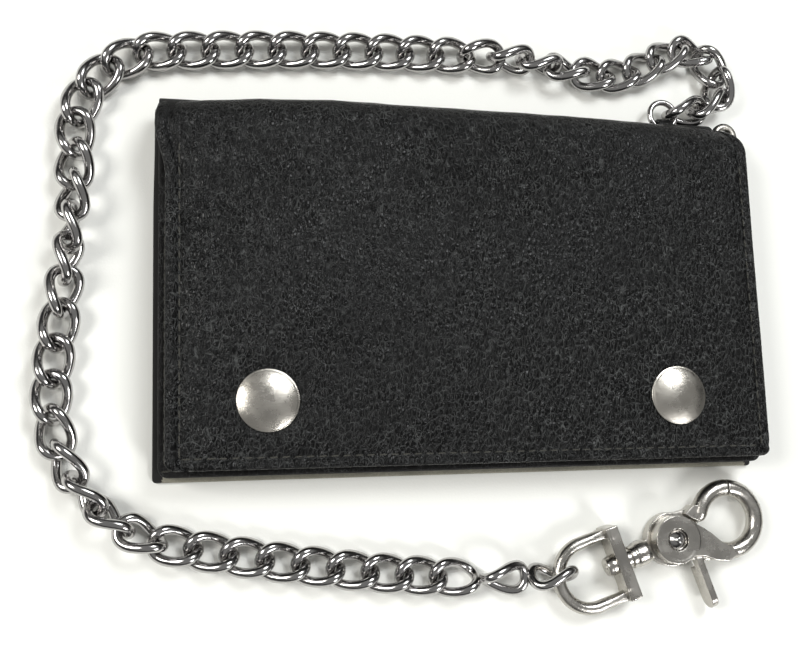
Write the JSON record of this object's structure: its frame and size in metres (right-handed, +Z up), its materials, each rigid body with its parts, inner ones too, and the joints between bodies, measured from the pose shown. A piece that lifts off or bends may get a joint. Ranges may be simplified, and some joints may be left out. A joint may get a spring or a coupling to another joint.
{
  "type": "chain wallet",
  "caption": "Black leather snap wallet with a folded flap, a curb chain laid round it and a swivel trigger hook.",
  "frame": {"origin": "centre of the wallet's back face, which lies on the table", "axes": "+X to the right along the fold, +Y from the flap's edge towards the fold, +Z up through the flap"},
  "size_m": [0.1939, 0.1635, 0.0159],
  "materials": {
    "black_leather": "pebbled, satin",
    "inner_leather": "fine grain, matte",
    "lining_fabric": "plain weave",
    "zip_fabric": "woven tape",
    "zip_metal": "satin nickel",
    "snap_metal": "polished nickel",
    "nickel": "polished nickel plate",
    "spring_steel": "drawn wire",
    "clear_sheet": "clear film"
  },
  "bodies": {
    "wallet": {"outer_back": "black_leather", "fold_lining": "inner_leather", "bill_lining": "lining_fabric", "bill_divider": "inner_leather", "coin_back": "inner_leather", "coin_gusset": "inner_leather", "coin_front": "inner_leather", "coin_top_band": "inner_leather", "zip_tape": "zip_fabric", "zip_teeth": "zip_metal", "zip_stops": "zip_metal", "snap_studs": "snap_metal", "snap_rivets": "snap_metal", "corner_tab": "black_leather", "corner_eyelet": "snap_metal", "chain_tab": "black_leather"},
    "flap": {"outer_flap": "black_leather", "flap_lining": "lining_fabric", "card_panel": "inner_leather", "card_slot_1": "inner_leather", "card_slot_2": "inner_leather", "card_slot_3": "inner_leather", "window_frame": "inner_leather", "id_window": "clear_sheet", "snap_caps": "snap_metal", "snap_sockets": "snap_metal"},
    "zip_slider": {"zip_slider": "zip_metal"},
    "zip_pull": {"zip_pull": "zip_metal"},
    "wallet_ring": {"wallet_ring": "nickel"},
    "chain_01": {"chain_01": "nickel"},
    "chain_02": {"chain_02": "nickel"},
    "chain_03": {"chain_03": "nickel"},
    "chain_04": {"chain_04": "nickel"},
    "chain_05": {"chain_05": "nickel"},
    "chain_06": {"chain_06": "nickel"},
    "chain_07": {"chain_07": "nickel"},
    "chain_08": {"chain_08": "nickel"},
    "chain_09": {"chain_09": "nickel"},
    "chain_10": {"chain_10": "nickel"},
    "chain_11": {"chain_11": "nickel"},
    "chain_12": {"chain_12": "nickel"},
    "chain_13": {"chain_13": "nickel"},
    "chain_14": {"chain_14": "nickel"},
    "chain_15": {"chain_15": "nickel"},
    "chain_16": {"chain_16": "nickel"},
    "swivel_eye": {"swivel_eye": "nickel"},
    "hook": {"hook_body": "nickel", "pivot_rivet": "nickel", "trigger_spring": "spring_steel"},
    "jaw": {"trigger_jaw": "nickel"}
  },
  "joints": [
    {"name": "flap_fold", "type": "hinge", "parent": "wallet", "child": "flap", "pos_m": [0, 0.0418, 0.0071], "axis": [-1, 0, 0], "range_deg": [0, 110]},
    {"name": "coin_zip", "type": "slide", "parent": "wallet", "child": "zip_slider", "axis": [1, 0, 0], "range_m": [0, 0.124]},
    {"name": "coin_zip_pull", "type": "hinge", "parent": "zip_slider", "child": "zip_pull", "pos_m": [-0.0653, 0.0193, 0.0098], "axis": [0, 0, 1], "range_deg": [-40, 40]},
    {"name": "link_00_ring", "type": "hinge", "parent": "wallet", "child": "wallet_ring", "pos_m": [0.0609, 0.0512, 0.0042], "axis": [0, 0, -1], "range_deg": [0, 3]},
    {"name": "link_01", "type": "hinge", "parent": "wallet_ring", "child": "chain_01", "pos_m": [0.06376, 0.05165, 0.004], "axis": [0, 0, -1], "range_deg": [0, 3]},
    {"name": "link_02", "type": "hinge", "parent": "chain_01", "child": "chain_02", "pos_m": [0.05239, 0.06397, 0.004], "axis": [0, 0, -1], "range_deg": [0, 4]},
    {"name": "link_03", "type": "hinge", "parent": "chain_02", "child": "chain_03", "pos_m": [0.02774, 0.06409, 0.004], "axis": [0, 0, -1], "range_deg": [0, 5]},
    {"name": "link_04", "type": "hinge", "parent": "chain_03", "child": "chain_04", "pos_m": [0.00261, 0.06576, 0.004], "axis": [0, 0, -1], "range_deg": [0, 8]},
    {"name": "link_05", "type": "hinge", "parent": "chain_04", "child": "chain_05", "pos_m": [-0.02359, 0.06539, 0.004], "axis": [0, 0, -1], "range_deg": [0, 12]},
    {"name": "link_06", "type": "hinge", "parent": "chain_05", "child": "chain_06", "pos_m": [-0.04996, 0.06419, 0.004], "axis": [0, 0, -1], "range_deg": [0, 12]},
    {"name": "link_07", "type": "hinge", "parent": "chain_06", "child": "chain_07", "pos_m": [-0.07628, 0.06217, 0.004], "axis": [0, 0, -1], "range_deg": [0, 12]},
    {"name": "link_08", "type": "hinge", "parent": "chain_07", "child": "chain_08", "pos_m": [-0.09834, 0.05102, 0.004], "axis": [0, 0, -1], "range_deg": [0, 12]},
    {"name": "link_09", "type": "hinge", "parent": "chain_08", "child": "chain_09", "pos_m": [-0.10133, 0.02636, 0.004], "axis": [0, 0, -1], "range_deg": [0, 12]},
    {"name": "link_10", "type": "hinge", "parent": "chain_09", "child": "chain_10", "pos_m": [-0.10292, 0.00182, 0.004], "axis": [0, 0, -1], "range_deg": [0, 12]},
    {"name": "link_11", "type": "hinge", "parent": "chain_10", "child": "chain_11", "pos_m": [-0.10576, -0.02366, 0.004], "axis": [0, 0, -1], "range_deg": [0, 12]},
    {"name": "link_12", "type": "hinge", "parent": "chain_11", "child": "chain_12", "pos_m": [-0.1003, -0.04832, 0.004], "axis": [0, 0, -1], "range_deg": [0, 12]},
    {"name": "link_13", "type": "hinge", "parent": "chain_12", "child": "chain_13", "pos_m": [-0.08066, -0.06389, 0.004], "axis": [0, 0, -1], "range_deg": [0, 12]},
    {"name": "link_14", "type": "hinge", "parent": "chain_13", "child": "chain_14", "pos_m": [-0.05469, -0.06917, 0.004], "axis": [0, 0, -1], "range_deg": [0, 12]},
    {"name": "link_15", "type": "hinge", "parent": "chain_14", "child": "chain_15", "pos_m": [-0.02831, -0.07326, 0.004], "axis": [0, 0, -1], "range_deg": [0, 12]},
    {"name": "link_16", "type": "hinge", "parent": "chain_15", "child": "chain_16", "pos_m": [-0.00186, -0.07608, 0.004], "axis": [0, 0, -1], "range_deg": [0, 12]},
    {"name": "hook_eye_swing", "type": "hinge", "parent": "chain_16", "child": "swivel_eye", "pos_m": [0.02407, -0.07616, 0.0039], "axis": [0, 0, -1], "range_deg": [0, 12]},
    {"name": "hook_swivel", "type": "hinge", "parent": "swivel_eye", "child": "hook", "pos_m": [0.0552, -0.0687, 0.0039], "axis": [0.9483, 0.3173, 0], "range_deg": [-140, 140]},
    {"name": "jaw_trigger", "type": "hinge", "parent": "hook", "child": "jaw", "pos_m": [0.0552, -0.0687, 0.0039], "axis": [0, 0, -1], "range_deg": [0, 25], "stiffness_Nm_per_rad": 0.05, "springref_deg": -17.19}
  ]
}
